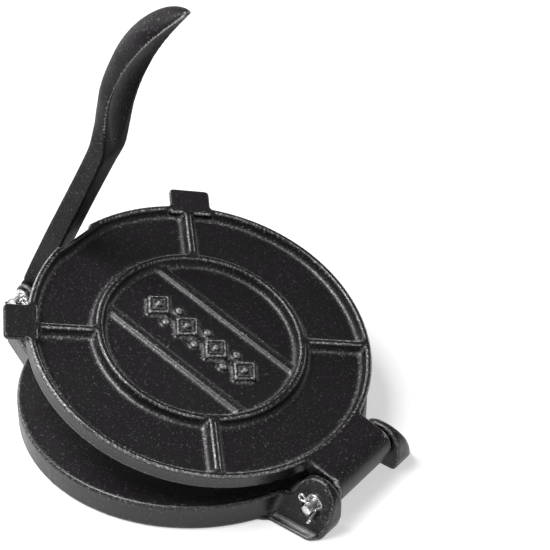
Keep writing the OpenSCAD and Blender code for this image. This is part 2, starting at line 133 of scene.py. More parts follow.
@dataclass
class Graph:
    """A node tree with short calls that add and link its nodes."""

    tree: NodeTree

    def add(
        self, kind: str, inputs: Mapping[str | int, Value] | None = None, **settings: Value
    ) -> Node:
        """Adds a node.

        Args:
            kind: The node's type.
            inputs: Values, output sockets or nodes for its inputs, by name or place.
            **settings: The node's own properties.

        Returns:
            The new node.
        """
        node = self.tree.nodes.new(kind)
        for name, value in settings.items():
            setattr(node, name, value)
        self.feed(node, inputs or {})
        return node

    def feed(self, node: Node, inputs: Mapping[str | int, Value]) -> None:
        """Sets or links a node's inputs; a node stands for its own first output.

        Args:
            node: The node.
            inputs: Values, output sockets or nodes, by the input's name or place.
        """
        for key, value in inputs.items():
            if isinstance(value, (Node, NodeSocket)):
                source = value.outputs[0] if isinstance(value, Node) else value
                self.tree.links.new(source, node.inputs[key])
            else:
                node.inputs[key].default_value = value

    def group(self, tree: NodeTree, inputs: Mapping[str | int, Value]) -> Node:
        """Places a shared shader group and returns its node."""
        return self.add("ShaderNodeGroup", inputs, node_tree=tree, label=tree.name)

    def math(self, operation: str, first: Value, second: Value = 0.0) -> Node:
        """Returns a math node on two values, sockets or nodes."""
        return self.add("ShaderNodeMath", {0: first, 1: second}, operation=operation)

    def ramp(self, value: Value, low: float, high: float) -> Node:
        """Returns a value carried smoothly from 0 at low to 1 at high."""
        inputs = {"Value": value, "From Min": low, "From Max": high}
        return self.add("ShaderNodeMapRange", inputs, interpolation_type="SMOOTHSTEP")

    def span(self, share: Value, low: float, high: float) -> Node:
        """Returns the number that lies between two numbers by a share."""
        inputs = {"Value": share, "To Min": low, "To Max": high}
        return self.add("ShaderNodeMapRange", inputs)

    def bump(self, height: Value, depth: float, strength: float = 1.0) -> Node:
        """Returns the normal of a surface that a height roughens."""
        inputs = {"Strength": strength, "Distance": depth, "Height": height}
        return self.add("ShaderNodeBump", inputs)

    def mask(self, name: str) -> NodeSocket:
        """Returns the number that a mesh's attribute holds."""
        node = self.add("ShaderNodeAttribute", attribute_name=name, attribute_type="GEOMETRY")
        return node.outputs["Fac"]

    def vector(self, x: Value, y: Value = 0.0, z: Value = 0.0) -> Node:
        """Returns a vector of three values or sockets."""
        return self.add("ShaderNodeCombineXYZ", {"X": x, "Y": y, "Z": z})

    def circle(self, sides: Value, radius: Value) -> Node:
        """Returns a round or cornered outline."""
        inputs = {"Resolution": sides, "Radius": radius}
        return self.add("GeometryNodeCurvePrimitiveCircle", inputs)

    def dress(self, shape: Value, material: NodeSocket, out: Node) -> NodeTree:
        """Ends a geometry tree with real geometry in a material.

        Args:
            shape: What the tree has made.
            material: The socket that hands in the material.
            out: The tree's output node.

        Returns:
            The finished tree.
        """
        plain = self.add("GeometryNodeRealizeInstances", {"Geometry": shape})
        dressed = self.add("GeometryNodeSetMaterial", {"Geometry": plain, "Material": material})
        self.feed(out, {"Shape": dressed})
        return self.tree

    def mix(self, share: Value, first: Value, second: Value) -> NodeSocket:
        """Adds a node that lays one colour over another.

        Args:
            share: How much of the second colour shows, from 0 to 1.
            first: The colour below.
            second: The colour on top.

        Returns:
            The mixed colour.
        """
        node = self.add("ShaderNodeMix", data_type="RGBA")
        self.feed(node, dict(zip(MIX_INPUTS, (share, first, second))))
        return node.outputs[MIX_OUTPUT]

    def noise(
        self, where: Value, scale: Value, detail: float, rough: float = 0.5, warp: float = 0.0
    ) -> Node:
        """Adds a fractal noise.

        Args:
            where: The point that it is read at.
            scale: Its number of waves in a metre.
            detail: Its number of finer layers.
            rough: Strength of the finer layers.
            warp: How far the pattern is bent.

        Returns:
            The noise, from 0 to 1 as its first output.
        """
        inputs = {"Vector": where, "Scale": scale, "Detail": detail, "Roughness": rough}
        return self.add("ShaderNodeTexNoise", inputs | {"Distortion": warp})


Started = tuple[Graph, Mapping[str, NodeSocket], Node]


def node_group(name: str, kind: str, inputs: Ports, outputs: Ports) -> Started:
    """Starts a node group with named sockets.

    Args:
        name: The group's name.
        kind: The tree's type.
        inputs: Its inputs, each with its kind or with the number that it starts at.
        outputs: Its outputs.

    Returns:
        The graph, the inputs that it is given and its output node.
    """
    tree = bpy.data.node_groups.new(name, kind)
    for way, ports in (("INPUT", inputs), ("OUTPUT", outputs)):
        for label, port in ports.items():
            number = Port.WHOLE if isinstance(port, int) else Port.NUMBER
            sort = port if isinstance(port, Port) else number
            made = tree.interface.new_socket(name=label, in_out=way, socket_type=sort.value)
            if sort is not port:
                made.default_value = port
    graph = Graph(tree)
    return graph, graph.add("NodeGroupInput").outputs, graph.add("NodeGroupOutput")


def shader_group(name: str, inputs: Ports, *outputs: str) -> Started:
    """Starts a shader group whose outputs are numbers."""
    return node_group(name, "ShaderNodeTree", inputs, dict.fromkeys(outputs, Port.NUMBER))


def shape_tree(name: str, inputs: Ports) -> Started:
    """Starts a geometry tree that returns a shape."""
    return node_group(name, "GeometryNodeTree", inputs, {"Shape": Port.SHAPE})


# ---- meshes ----


def plain_mesh(name: str, points: Sequence[Sequence[float]], faces: Sequence) -> Mesh:
    """Makes a mesh of points and faces and checks it.

    Args:
        name: The mesh's name.
        points: Its points, in metres.
        faces: Its faces, as the numbers of their points.

    Returns:
        The mesh.
    """
    mesh = bpy.data.meshes.new(name)
    mesh.from_pydata([tuple(p) for p in points], [], [tuple(f) for f in faces])
    mesh.validate()
    mesh.update()
    return mesh


def lofted(name: str, rings: Sequence[np.ndarray]) -> Mesh:
    """Joins closed rings of equal length into one closed skin.

    Args:
        name: The mesh's name.
        rings: The rings in order, each with as many points.

    Returns:
        The skin, with a flat face at both ends.
    """
    count = len(rings[0])
    faces: list[Sequence[int]] = []
    for ring in range(len(rings) - 1):
        for i in range(count):
            j = (i + 1) % count
            near, far = ring * count, (ring + 1) * count
            faces.append((near + i, near + j, far + j, far + i))
    last = (len(rings) - 1) * count
    faces.append(tuple(reversed(range(count))))
    faces.append(tuple(last + i for i in range(count)))
    return plain_mesh(name, np.vstack(rings), faces)


def lathed(name: str, profile: Sequence[tuple[float, float]], steps: int = 48) -> Mesh:
    """Turns a closed outline about the Y axis.

    Args:
        name: The mesh's name.
        profile: Points of the outline as radius and place along Y, a radius of 0 on the axis.
        steps: Number of steps round the axis.

    Returns:
        The turned body.
    """
    points: list[Place] = []
    rows: list[list[int]] = []
    for radius, along in profile:
        turns = steps if radius > 0 else 1
        rows.append([len(points) + k for k in range(turns)])
        for k in range(turns):
            angle = math.tau * k / turns
            points.append((radius * math.sin(angle), along, radius * math.cos(angle)))
    faces: list[tuple[int, ...]] = []
    for index, row in enumerate(rows):
        after = rows[(index + 1) % len(rows)]
        for k in range(steps):
            quad = ((row, k), (row, k + 1), (after, k + 1), (after, k))
            corners = tuple(dict.fromkeys(ring[at % len(ring)] for ring, at in quad))
            if len(corners) > 2:
                faces.append(corners)
    return welded(plain_mesh(name, points, faces), turn_out=True)


def welded(mesh: Mesh, turn_out: bool = False) -> Mesh:
    """Merges a mesh's doubles.

    Args:
        mesh: The mesh, which is changed in place.
        turn_out: Whether its faces are turned outwards as well.

    Returns:
        The same mesh.
    """
    work = bmesh.new()
    work.from_mesh(mesh)
    bmesh.ops.remove_doubles(work, verts=work.verts, dist=WELD_DISTANCE)
    if turn_out:
        bmesh.ops.recalc_face_normals(work, faces=work.faces)
    work.to_mesh(mesh)
    work.free()
    return mesh


def joined(name: str, meshes: Sequence[Mesh]) -> Mesh:
    """Puts several meshes into one.

    Args:
        name: The name of the whole.
        meshes: The parts, which are removed.

    Returns:
        The whole.
    """
    work = bmesh.new()
    for part in meshes:
        work.from_mesh(part)
        bpy.data.meshes.remove(part)
    mesh = bpy.data.meshes.new(name)
    work.to_mesh(mesh)
    work.free()
    return mesh


def frame_copy(node: Object, name: str) -> Mesh:
    """Copies a frame node's loose triangles and merges the copy.

    Args:
        node: The frame's node, which is left alone.
        name: The copy's name.

    Returns:
        The merged copy, without a material.
    """
    mesh = node.data.copy()
    mesh.name = name
    mesh.materials.clear()
    return welded(mesh)


def linked(name: str, data: ID) -> Object:
    """Makes an object and links it to the scene.

    Args:
        name: The object's name.
        data: Its mesh, lamp or camera.

    Returns:
        The object.
    """
    made = bpy.data.objects.new(name, data)
    bpy.context.scene.collection.objects.link(made)
    return made


def baked(mesh: Mesh, kind: str, prepare: Callable[[Modifier], None]) -> Mesh:
    """Applies one modifier to a mesh.

    Args:
        mesh: The mesh. It is removed.
        kind: The modifier's type.
        prepare: Sets the modifier up.

    Returns:
        The result, smooth-shaded and without any modifier.
    """
    holder = linked("bench", mesh)
    modifier = holder.modifiers.new("bench", kind)
    prepare(modifier)
    bpy.context.view_layer.update()
    graph = bpy.context.evaluated_depsgraph_get()
    result = bpy.data.meshes.new_from_object(holder.evaluated_get(graph), depsgraph=graph)
    holder.modifiers.remove(modifier)
    bpy.data.objects.remove(holder)
    bpy.data.meshes.remove(mesh)
    result.shade_smooth()
    return result


def shaped(source: Mesh, tree: NodeTree, values: Mapping[str, Value]) -> Mesh:
    """Runs a geometry tree on a mesh.

    Args:
        source: The mesh that enters the tree. It is removed.
        tree: The geometry tree.
        values: Values for the tree's inputs, by name.

    Returns:
        The finished mesh.
    """

    def prepare(modifier: Modifier) -> None:
        """Hands the tree and its values to the modifier.

        Args:
            modifier: The modifier that runs the tree.
        """
        modifier.node_group = tree
        for item in tree.interface.items_tree:
            if item.item_type == "SOCKET" and item.in_out == "INPUT" and item.name in values:
                modifier[item.identifier] = values[item.name]

    return baked(source, "NODES", prepare)


def thinned(mesh: Mesh, most: int) -> Mesh:
    """Merges a mesh's needless triangles.

    Args:
        mesh: The mesh, which is removed if it holds too many.
        most: The number of triangles that may stay.

    Returns:
        The mesh, or its thinned copy with the same attributes.
    """
    mesh.calc_loop_triangles()
    count = len(mesh.loop_triangles)
    if count <= most:
        return mesh

    def prepare(modifier: Modifier) -> None:
        """Sets the share of triangles that stays."""
        modifier.ratio = most / count

    return baked(mesh, "DECIMATE", prepare)


def arrays(mesh: Mesh) -> tuple[np.ndarray, np.ndarray, np.ndarray]:
    """Reads a mesh into arrays.

    Args:
        mesh: The mesh.

    Returns:
        Its points, the normals at its points and its edges, one in each row.
    """
    points = np.empty(len(mesh.vertices) * 3)
    mesh.vertices.foreach_get("co", points)
    normals = np.empty(len(mesh.vertices) * 3)
    mesh.vertex_normals.foreach_get("vector", normals)
    edges = np.empty(len(mesh.edges) * 2, np.int64)
    mesh.edges.foreach_get("vertices", edges)
    return points.reshape(-1, 3), normals.reshape(-1, 3), edges.reshape(-1, 2)


def mark_bends(
    mesh: Mesh, radius: float, worn: Callable[[np.ndarray], np.ndarray], grit_spread: int
) -> None:
    """Writes how sharply the surface bends to three attributes, which the finishes read.

    Args:
        mesh: The mesh of a casting.
        radius: Radius of a bend that counts in full.
        worn: Share of the wear and painted highlight that points keep.
        grit_spread: Rounds in which the sandy zone beside a bend spreads.
    """
    points, normals, edges = arrays(mesh)
    first, second = edges.T
    valence = np.bincount(edges.ravel(), minlength=len(points)).clip(1)

    def around(values: np.ndarray) -> np.ndarray:
        """Returns the mean of each vertex's neighbours."""
        total = np.bincount(first, values[second], len(points))
        return (total + np.bincount(second, values[first], len(points))) / valence

    span = np.linalg.norm(points[first] - points[second], axis=1)
    square = np.bincount(first, span**2, len(points)) + np.bincount(second, span**2, len(points))
    centre = np.stack([around(points[:, axis]) for axis in range(3)], 1)
    bend = 2 * ((points - centre) * normals).sum(1) / (square / valence).clip(1e-12)
    bend = (bend + around(bend)) / 2
    share = bend * radius * worn(points)
    grit = np.abs(share).clip(0, 1)
    for _ in range(grit_spread):
        grit = (grit + around(grit)) / 2
    marks = {EDGE_MASK: share, CREASE_MASK: -share, GRIT_MASK: grit}
    for name, values in marks.items():
        layer = mesh.attributes.new(name, "FLOAT", "POINT")
        layer.data.foreach_set("value", values.clip(0, 1).astype(np.float32))


def place(mesh: Mesh, name: str, body: Body, nodes: Sequence[str]) -> None:
    """Makes a finished piece of a mesh and hangs it on its body.

    Args:
        mesh: The finished mesh, in the press's own frame.
        name: The piece's name.
        body: The body that it moves with.
        nodes: The frame nodes that it stands for.
    """
    piece = linked(name, mesh)
    mesh.name = name
    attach(piece, body.value)
    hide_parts(*nodes)
    mesh.calc_loop_triangles()
    LOG.info("%s: %d triangles on %s", name, len(mesh.loop_triangles), body.value)


# ---- effects that several finishes share ----


def sand_grain_group() -> NodeTree:
    """Builds the rough skin that a sand mould leaves: fine grains, soft waves and a few pits.

    Returns:
        The shader group, with a height and masks of speckles and glints.
    """
    inputs = {"Position": Port.VECTOR, "Grain Size": 1.2 * MM, "Pit Size": 5 * MM}
    graph, given, out = shader_group("sand_grain", inputs, "Height", "Speckle", "Glint")
    where, grain = given["Position"], given["Grain Size"]
    fine = graph.noise(where, graph.math("DIVIDE", 1.0, grain), detail=3.0, rough=0.65)
    wave = graph.noise(where, graph.math("DIVIDE", WAVE_SHARE, grain), detail=2.0)
    inputs = {"Vector": where, "Scale": graph.math("DIVIDE", 1.0, given["Pit Size"])}
    pits = graph.add("ShaderNodeTexVoronoi", inputs, feature="F1")
    pit = graph.ramp(pits, *PIT_RAMP)
    height = graph.math("ADD", fine, graph.math("MULTIPLY", wave, WAVE_HEIGHT))
    height = graph.math("ADD", height, graph.math("MULTIPLY", pit, PIT_HEIGHT))
    speckle, glint = graph.ramp(fine, *SPECKLE_RAMP), graph.ramp(fine, *GLINT_RAMP)
    graph.feed(out, {"Height": height, "Speckle": speckle, "Glint": glint})
    return graph.tree


def seasoning_group() -> NodeTree:
    """Builds the uneven tone of oil that was baked onto iron.

    Returns:
        The shader group, with the tone from 0 to 1.
    """
    inputs = {"Position": Port.VECTOR, "Patch Size": 30 * MM}
    graph, given, out = shader_group("seasoning", inputs, "Tone")
    scale = graph.math("DIVIDE", 1.0, given["Patch Size"])
    patches = graph.noise(given["Position"], scale, detail=4.0, rough=0.6, warp=0.6)
    graph.feed(out, {"Tone": graph.ramp(patches, *TONE_RAMP)})
    return graph.tree


def edge_wear_and_highlight_group() -> NodeTree:
    """Builds masks of outer edges, which get wear and a painted highlight, of inner corners, which
    get a painted highlight, and of the sandy zone beside both.

    Returns:
        The shader group, with the three masks.
    """
    inputs = {"Speckle": 0.5, "Breakup": 0.5}
    graph, given, out = shader_group("edge_wear", inputs, "Edge", "Corner", "Grit")
    keep = graph.math("SUBTRACT", 1.0, given["Breakup"])
    grain = graph.math("MULTIPLY", given["Speckle"], given["Breakup"])
    grain = graph.math("ADD", grain, keep)
    masks = ((EDGE_MASK, "Edge", EDGE_RAMP), (CREASE_MASK, "Corner", CORNER_RAMP))
    for mask, name, bounds in masks:
        share = graph.ramp(graph.mask(mask), *bounds)
        graph.feed(out, {name: graph.math("MULTIPLY", share, grain)})
    graph.feed(out, {"Grit": graph.ramp(graph.mask(GRIT_MASK), *GRIT_RAMP)})
    return graph.tree


def turning_group() -> NodeTree:
    """Builds the fine rings and smears on plated wire and turned pins.

    Returns:
        The shader group, with a height and a mask of smears.
    """
    inputs = {"Position": Port.VECTOR, "Pitch": 0.4 * MM}
    graph, given, out = shader_group("turning_marks", inputs, "Height", "Smear")
    where, pitch = given["Position"], given["Pitch"]
    stretched = graph.add("ShaderNodeMapping", {"Vector": where, "Scale": TURNED_STRETCH})
    rings = graph.noise(stretched, graph.math("DIVIDE", 1.0, pitch), detail=2.0)
    smear = graph.noise(where, graph.math("DIVIDE", SMEAR_SHARE, pitch), detail=3.0)
    graph.feed(out, {"Height": rings, "Smear": graph.ramp(smear, *SMEAR_RAMP)})
    return graph.tree


@dataclass
class Effects:
    """The shader groups that the finishes share, each built once."""

    sand_grain: NodeTree = field(default_factory=sand_grain_group)
    seasoning: NodeTree = field(default_factory=seasoning_group)
    edge_wear: NodeTree = field(default_factory=edge_wear_and_highlight_group)
    turning: NodeTree = field(default_factory=turning_group)


def grey(value: float, violet: float = 0.0) -> Colour:
    """Returns a grey that leans towards violet, or with a negative share towards green."""
    return (value * (1 + violet), value * (1 - violet), value * (1 + violet), 1.0)


def new_material(name: str) -> tuple[Material, Graph, Node]:
    """Starts a material.

    Args:
        name: The material's name.

    Returns:
        The material, its graph and its shader node.
    """
    material = bpy.data.materials.new(name)
    material.use_nodes = True
    graph = Graph(material.node_tree)
    return material, graph, graph.tree.nodes["Principled BSDF"]


@dataclass(frozen=True)
class SeasonedIron:
    """Cast iron under a baked coat of oil: near black and grainy; outer edges are worn and painted
    with a highlight, and inner corners and grains get painted highlights.
    """

    name: str
    deep: Colour = grey(0.0030, 0.15)
    pale: Colour = grey(0.0060, 0.15)
    # The outer edges' colour is worn iron with a painted highlight; the inner corners' colour and
    # the glint are painted highlights.
    rubbed: Colour = grey(0.52)
    corner: Colour = grey(0.24)
    glint: Colour = grey(0.22)
    grain: float = 1.25 * MM
    grain_depth: float = 0.17 * MM
    calm_grain: float = 0.65
    calm_glint: float = 0.34
    patch: float = 32 * MM
    breakup: float = 0.8
    matt: float = 0.40
    rubbed_gloss: float = 0.27
    patch_gloss: float = 0.08
    specular: float = 0.5

    def material(self, effects: Effects) -> Material:
        """Builds the material, with grain, seasoning, wear and painted highlights from the shared
        effects.

        Args:
            effects: The shared shader groups.

        Returns:
            The material.
        """
        material, graph, shader = new_material(self.name)
        where = graph.add("ShaderNodeTexCoord").outputs["Object"]
        grain = graph.group(effects.sand_grain, {"Position": where, "Grain Size": self.grain})
        patches = graph.group(effects.seasoning, {"Position": where, "Patch Size": self.patch})
        speckle, tone = grain.outputs["Speckle"], patches.outputs["Tone"]
        wear = graph.group(effects.edge_wear, {"Speckle": speckle, "Breakup": self.breakup})
        edge, corner, grit = (wear.outputs[mask] for mask in ("Edge", "Corner", "Grit"))
        # Painted glints on the grain, full near bends and thinner on the flats.
        glint_share = graph.math("MAXIMUM", grit, self.calm_glint)
        painted_glints = graph.math("MULTIPLY", grain.outputs["Glint"], glint_share)
        colour = graph.mix(tone, self.deep, self.pale)
        # Lays painted glints, a painted highlight in inner corners and worn edges with a painted
        # highlight into the colour.
        for share, over in ((painted_glints, self.glint), (corner, self.corner), (edge, self.rubbed)):
            colour = graph.mix(share, colour, over)
        gloss = graph.span(graph.math("MAXIMUM", edge, corner), self.matt, self.rubbed_gloss)
        uneven = graph.math("MULTIPLY", tone, self.patch_gloss)
        coarse = graph.span(grit, self.calm_grain, 1.0)
        height = graph.math("MULTIPLY", grain.outputs["Height"], coarse)
        values = {
            "Specular IOR Level": self.specular,
            "Base Color": colour,
            "Roughness": graph.math("SUBTRACT", gloss, uneven),
            "Normal": graph.bump(height, self.grain_depth),
        }
        graph.feed(shader, values)
        return material


@dataclass(frozen=True)
class PlatedSteel:
    """Bright zinc-plated steel, as on turned pins, stamped washers and bent wire."""

    name: str
    bright: Colour = grey(0.80)
    dull: Colour = grey(0.55)
    pitch: float = 0.4 * MM
    mark_depth: float = 0.02 * MM
    mark_strength: float = 0.6
    polish: float = 0.22
    haze: float = 0.42

    def material(self, effects: Effects) -> Material:
        """Builds the material, with turning marks and smears from the shared effect.

        Args:
            effects: The shared shader groups.

        Returns:
            The material.
        """
        material, graph, shader = new_material(self.name)
        where = graph.add("ShaderNodeTexCoord").outputs["Object"]
        marks = graph.group(effects.turning, {"Position": where, "Pitch": self.pitch})
        smear = marks.outputs["Smear"]
        values = {
            "Metallic": 1.0,
            "Base Color": graph.mix(smear, self.bright, self.dull),
            "Roughness": graph.span(smear, self.polish, self.haze),
            "Normal": graph.bump(marks.outputs["Height"], self.mark_depth, self.mark_strength),
        }
        graph.feed(shader, values)
        return material


# ---- geometry trees ----


def cast_skin_tree() -> NodeTree:
    """Builds a tree that gives a sharp solid the skin of a casting.

    It grows the solid by the fillet radius and shrinks it again, which fills inner corners, then
    shrinks it by the edge radius and grows it again, which rounds outer edges.

    Returns:
        The geometry tree.
    """
    inputs = {
        "Shape": Port.SHAPE,
        "Voxel": 0.9 * MM,
        "Band": 6,
        "Fillet Radius": 2 * MM,
        "Edge Radius": 1 * MM,
        "Material": Port.MATERIAL,
    }
    graph, given, out = shape_tree("cast_skin", inputs)
    fillet, edge = given["Fillet Radius"], given["Edge Radius"]
    both = graph.math("ADD", fillet, edge)
    shape = given["Shape"]
    for level in (fillet, graph.math("MULTIPLY", both, -1.0), edge):
        inputs = {"Mesh": shape, "Voxel Size": given["Voxel"], "Band Width": given["Band"]}
        depth = graph.add("GeometryNodeMeshToSDFGrid", inputs)
        shape = graph.add("GeometryNodeGridToMesh", {"Grid": depth, "Threshold": level})
    return graph.dress(shape, given["Material"], out)


def bent_wire_tree() -> NodeTree:
    """Builds a tree that bends round wire along a chain of edges.

    Returns:
        The geometry tree.
    """
    inputs = {
        "Path": Port.SHAPE,
        "Wire Radius": 0.8 * MM,
        "Bend Radius": 1.2 * MM,
        "Sides": 14,
        "Material": Port.MATERIAL,
    }
    graph, given, out = shape_tree("bent_wire", inputs)
    curve = graph.add("GeometryNodeMeshToCurve", {"Mesh": given["Path"]})
    inputs = {"Curve": curve, "Radius": given["Bend Radius"], "Count": BEND_STEPS}
    bends = graph.add("GeometryNodeFilletCurve", inputs | {"Limit Radius": True}, mode="POLY")
    section = graph.circle(given["Sides"], given["Wire Radius"])
    inputs = {"Curve": bends, "Profile Curve": section, "Fill Caps": True}
    wire = graph.add("GeometryNodeCurveToMesh", inputs)
    return graph.dress(wire, given["Material"], out)


def bead_row_tree() -> NodeTree:
    """Builds a tree that sets a row of bead-edged lozenges, each with a stud, along X.

    Returns:
        The geometry tree.
    """
    inputs = {
        "Shape": Port.SHAPE,
        "Count": 4,
        "Pitch": 22 * MM,
        "Half Length": 8 * MM,
        "Half Width": 9 * MM,
        "Bead Radius": 1 * MM,
        "Stud Radius": 2 * MM,
        "Centre": Port.VECTOR,
        "Material": Port.MATERIAL,
    }
    graph, given, out = shape_tree("bead_row", inputs)
    pitch = given["Pitch"]
    reach = graph.math("MULTIPLY", pitch, graph.math("SUBTRACT", given["Count"], 1.0))
    first = graph.vector(graph.math("MULTIPLY", reach, -0.5))
    begin = graph.add("ShaderNodeVectorMath", {0: first, 1: given["Centre"]})
    inputs = {"Count": given["Count"], "Start Location": begin, "Offset": graph.vector(pitch)}
    row = graph.add("GeometryNodeMeshLine", inputs)
    size = graph.vector(given["Half Length"], given["Half Width"], 1.0)
    inputs = {"Geometry": graph.circle(LOZENGE_SIDES, 1.0), "Scale": size}
    outline = graph.add("GeometryNodeTransform", inputs)
    inputs = {"Curve": outline, "Profile Curve": graph.circle(BEAD_SIDES, given["Bead Radius"])}
    bead = graph.add("GeometryNodeCurveToMesh", inputs)
    inputs = {"Radius": given["Stud Radius"], "Subdivisions": STUD_DETAIL}
    stud = graph.add("GeometryNodeMeshIcoSphere", inputs)
    motif = graph.add("GeometryNodeJoinGeometry")
    for part in (bead, stud):
        graph.feed(motif, {"Geometry": part})
    placed = graph.add("GeometryNodeInstanceOnPoints", {"Points": row, "Instance": motif})
    return graph.dress(placed, given["Material"], out)


@dataclass
class Trees:
    """The geometry trees that the sub-assemblies share."""

    cast_skin: NodeTree = field(default_factory=cast_skin_tree)
    bent_wire: NodeTree = field(default_factory=bent_wire_tree)
    bead_row: NodeTree = field(default_factory=bead_row_tree)


@dataclass
class Workshop:
    """What every sub-assembly builds with: the frame, the shared trees and the shared effects."""

    frame: Mapping[str, Any]
    trees: Trees = field(default_factory=Trees)
    effects: Effects = field(default_factory=Effects)

    def joint(self, name: str) -> Mapping[str, Any]:
        """Returns the frame's joint of that name."""
        return next(j for j in self.frame["joints"] if j["name"] == name)

    def pivot(self, name: str) -> Vector:
        """Returns a point on the axis of a joint."""
        return Vector(self.joint(name)["pos_m"])


@dataclass
class Casting:
    """A part of cast iron: a sharp solid that gets a cast skin, its wear, painted highlights and
    its clean bores.

    The solid is worked on in its level pose, in which the cells of the skin lie along its flats.
    """

    name: str
    body: Body
    slot: str
    node: str
    finish: SeasonedIron
    voxel: float
    fillet: float
    edge: float
    bend: float = 3.2 * MM
    grit_reach: float = 2.4 * MM
    reamer: float = 3.15 * MM
    most_triangles: int = 185_000

    def solid(self, shop: Workshop, material: Material) -> Mesh:
        """Returns the sharp solid in its place in the frame."""
        return frame_copy(shop.frame["nodes"][self.node], f"{self.name}_solid")

    def pose(self, shop: Workshop) -> Matrix:
        """Returns the turn that takes the level solid to its place in the frame."""
        return Matrix.Identity(4)

    def worn(self, points: np.ndarray) -> np.ndarray:
        """Returns how much of the wear and painted highlight points of the level solid keep."""
        return np.ones(len(points))

    def fitted(self, mesh: Mesh, joints: Sequence[Mapping[str, Any]]) -> None:
        """Keeps a mesh inside its frame node's box and opens it round the axles.

        Args:
            mesh: The cast mesh in its place, which is changed.
            joints: The frame's joints, whose axles run along Y.
        """
        low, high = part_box(self.node)
        points = np.empty(len(mesh.vertices) * 3)
        mesh.vertices.foreach_get("co", points)
        kept = np.clip(points.reshape(-1, 3), tuple(low), tuple(high))
        for joint in joints:
            off = kept[:, [0, 2]] - np.array(joint["pos_m"])[[0, 2]]
            reach = np.hypot(off[:, 0], off[:, 1]).clip(1e-9)
            wide = np.where(reach < self.reamer, self.reamer / reach, 1.0)
            kept[:, [0, 2]] += off * (wide - 1)[:, None]
        mesh.vertices.foreach_set("co", kept.ravel())
        mesh.update()

    def build(self, shop: Workshop) -> None:
        """Casts the solid and places the piece.

        Args:
            shop: The frame and what the sub-assemblies share.
        """
        material = self.finish.material(shop.effects)
        solid, pose = self.solid(shop, material), self.pose(shop)
        solid.transform(pose.inverted())
        values = {
            "Voxel": self.voxel,
            "Band": math.ceil((self.fillet + self.edge) / self.voxel) + 2,
            "Fillet Radius": self.fillet,
            "Edge Radius": self.edge,
            "Material": material,
        }
        cast = shaped(solid, shop.trees.cast_skin, values)
        mark_bends(cast, self.bend, self.worn, round((self.grit_reach / self.voxel) ** 2))
        cast = thinned(cast, self.most_triangles)
        cast.transform(pose)
        self.fitted(cast, shop.frame["joints"])
        place(cast, self.name, self.body, [self.node])


# ---- base ----


@dataclass
class BaseCasting(Casting):
    """The lower plate with its hinge ears, its neck and the ears for the lever."""

    name: str = "base_casting"
    body: Body = Body.BASE
    slot: str = "base_iron"
    node: str = "base_plate"
    # Its worn edges, painted edge highlights and painted corner highlights are dimmer than the
    # lid's.
    finish: SeasonedIron = SeasonedIron("base_seasoned_iron", rubbed=grey(0.22), corner=grey(0.12))
    voxel: float = 0.9 * MM
    fillet: float = 2.0 * MM
    edge: float = 0.8 * MM


# ---- lid ----


@dataclass
class LidCasting(Casting):
    """The upper plate with its rim, ring, ribs, band, tabs and hinge tongue."""

    name: str = "lid_casting"
    body: Body = Body.LID
    slot: str = "lid_iron"
    node: str = "lid_plate"
    finish: SeasonedIron = SeasonedIron("lid_seasoned_iron")
    voxel: float = 0.72 * MM
    fillet: float = 0.9 * MM
    edge: float = 0.55 * MM
    rim: float = 102.4 * MM
    rim_fade: float = 2 * MM
    tongue_root: float = 60 * MM
    # The tabs keep less of the edges' wear and painted highlight; a painted highlight line runs
    # along the ridge of the hinge tongue.
    tab_wear: float = 0.25
    ridge: float = 118.6 * MM
    ridge_width: float = 1.1 * MM
    ridge_foot: float = 22 * MM
    ridge_wear: float = 3.4
    lozenges: int = 4
    lozenge_pitch: float = 22 * MM
    lozenge_length: float = 17 * MM
    lozenge_width: float = 19 * MM
    relief_level: float = 25.9 * MM
    relief_shift: float = 0.7 * MM
    bead_inset: float = 1.3 * MM
    bead_radius: float = 1.05 * MM
    stud_radius: float = 2.1 * MM

    def relief(self, shop: Workshop, material: Material) -> Mesh:
        """Makes the beads and studs that stand on the band's lozenges.

        Args:
            shop: The frame and what the sub-assemblies share.
            material: The lid's finish.

        Returns:
            The relief, with the lid closed.
        """
        values = {
            "Count": self.lozenges,
            "Pitch": self.lozenge_pitch,
            "Half Length": self.lozenge_length / 2 - self.bead_inset,
            "Half Width": self.lozenge_width / 2 - self.bead_inset,
            "Bead Radius": self.bead_radius,
            "Stud Radius": self.stud_radius,
            "Centre": (0.0, self.relief_shift, self.relief_level),
            "Material": material,
        }
        return shaped(bpy.data.meshes.new("relief"), shop.trees.bead_row, values)

    def worn(self, points: np.ndarray) -> np.ndarray:
        """Takes most wear and painted highlight off the tabs and paints a highlight line along the
        ridge.

        Args:
            points: Points of the closed lid.

        Returns:
            How much of the wear and painted highlight they keep.
        """
        reach = np.hypot(points[:, 0], points[:, 1])
        outside = ((reach - self.rim) / self.rim_fade).clip(0, 1)
        tab = outside * (points[:, 0] < self.tongue_root)
        ridge = np.exp(-(((points[:, 0] - self.ridge) / self.ridge_width) ** 2))
        ridge *= points[:, 2] > self.ridge_foot
        return 1 - (1 - self.tab_wear) * tab + self.ridge_wear * ridge

    def pose(self, shop: Workshop) -> Matrix:
        """Finds the lid's open rest.

        Args:
            shop: The frame and what the sub-assemblies share.

        Returns:
            The turn about the hinge that takes the lid from closed to open.
        """
        open_angle = -math.radians(shop.joint("lid_hinge")["range_deg"][0])
        hinge = Matrix.Translation(shop.pivot("lid_hinge"))
        return hinge @ Matrix.Rotation(open_angle, 4, "Y") @ hinge.inverted()

    def solid(self, shop: Workshop, material: Material) -> Mesh:
        """Joins the plate and its relief.

        Args:
            shop: The frame and what the sub-assemblies share.
            material: The lid's finish.

        Returns:
            The sharp solid in its place in the frame.
        """
        plate = super().solid(shop, material)
        beads = self.relief(shop, material)
        beads.transform(self.pose(shop))
        return joined(self.name, [plate, beads])


# ---- handle ----


@dataclass(frozen=True)
class Station:
    """A cross section of the lever, in millimetres, at one place along it."""

    along: float
    half_width: float
    face: float
    back: float
    squareness: float
    dish_width: float = 0.0
    dish_depth: float = 0.0


